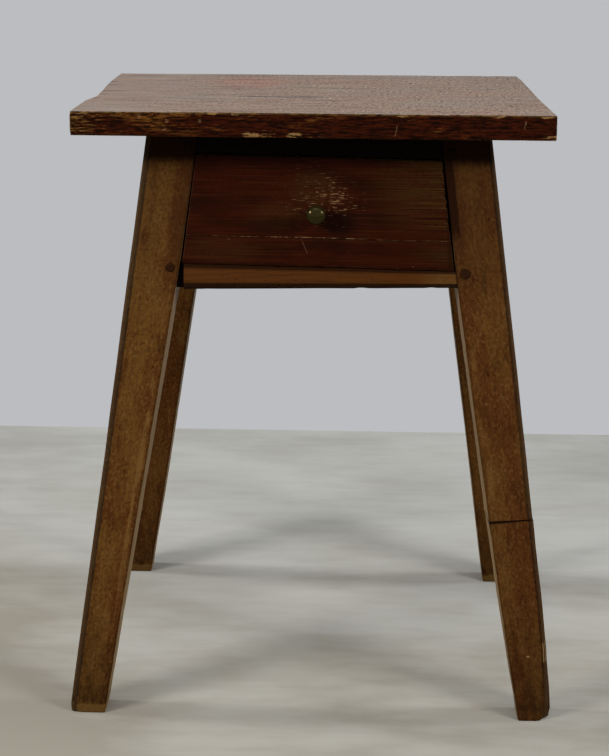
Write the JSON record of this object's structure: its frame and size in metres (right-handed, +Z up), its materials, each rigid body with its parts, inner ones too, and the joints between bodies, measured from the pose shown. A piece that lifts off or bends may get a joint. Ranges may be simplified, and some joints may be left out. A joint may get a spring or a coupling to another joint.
{
  "type": "tavern table",
  "caption": "Small splay-legged tavern table with a plank top, pegged rails and a dovetailed drawer that slides out by a ball knob.",
  "frame": {"origin": "on the floor, under the middle of the box round the four feet", "axes": "+Z up, -Y towards someone who faces the drawer, +X to their right"},
  "size_m": [0.5538, 0.4932, 0.686],
  "materials": {
    "painted_wood": "old red-brown paint, rubbed and flaked at the edges",
    "leg_wood": "brown wood with most of its paint worn off, satin",
    "rail_wood": "red-brown wood, worn paint, satin",
    "splice_wood": "duller brown wood of the repaired foot",
    "peg_wood": "dark end grain",
    "bare_wood": "unfinished, aged brown",
    "nail_iron": "dark oxidised iron",
    "aged_brass": "aged, greenish brown patina over polish",
    "screw_steel": "dull steel"
  },
  "bodies": {
    "frame": {"top_board": "painted_wood", "top_nails": "nail_iron", "front_left_leg": "leg_wood", "front_right_leg": "leg_wood", "front_right_leg_splice": "splice_wood", "splice_dowel": "peg_wood", "back_left_leg": "leg_wood", "back_right_leg": "leg_wood", "upper_front_rail": "rail_wood", "lower_front_rail": "rail_wood", "left_side_apron": "rail_wood", "right_side_apron": "rail_wood", "back_apron": "rail_wood", "front_rail_pegs": "peg_wood", "side_apron_pegs": "peg_wood", "back_apron_pegs": "peg_wood", "left_drawer_runner": "bare_wood", "right_drawer_runner": "bare_wood", "left_drawer_guide": "bare_wood", "right_drawer_guide": "bare_wood", "runner_nails": "nail_iron", "drawer_stops": "bare_wood"},
    "drawer": {"drawer_front": "painted_wood", "drawer_left_side": "bare_wood", "drawer_right_side": "bare_wood", "drawer_back": "bare_wood", "drawer_bottom": "bare_wood", "drawer_bottom_nails": "nail_iron", "drawer_knob": "aged_brass", "knob_screw": "screw_steel"}
  },
  "joints": [
    {"name": "drawer_slide", "type": "slide", "parent": "frame", "child": "drawer", "axis": [0, -1, 0], "range_m": [0, 0.25]}
  ]
}
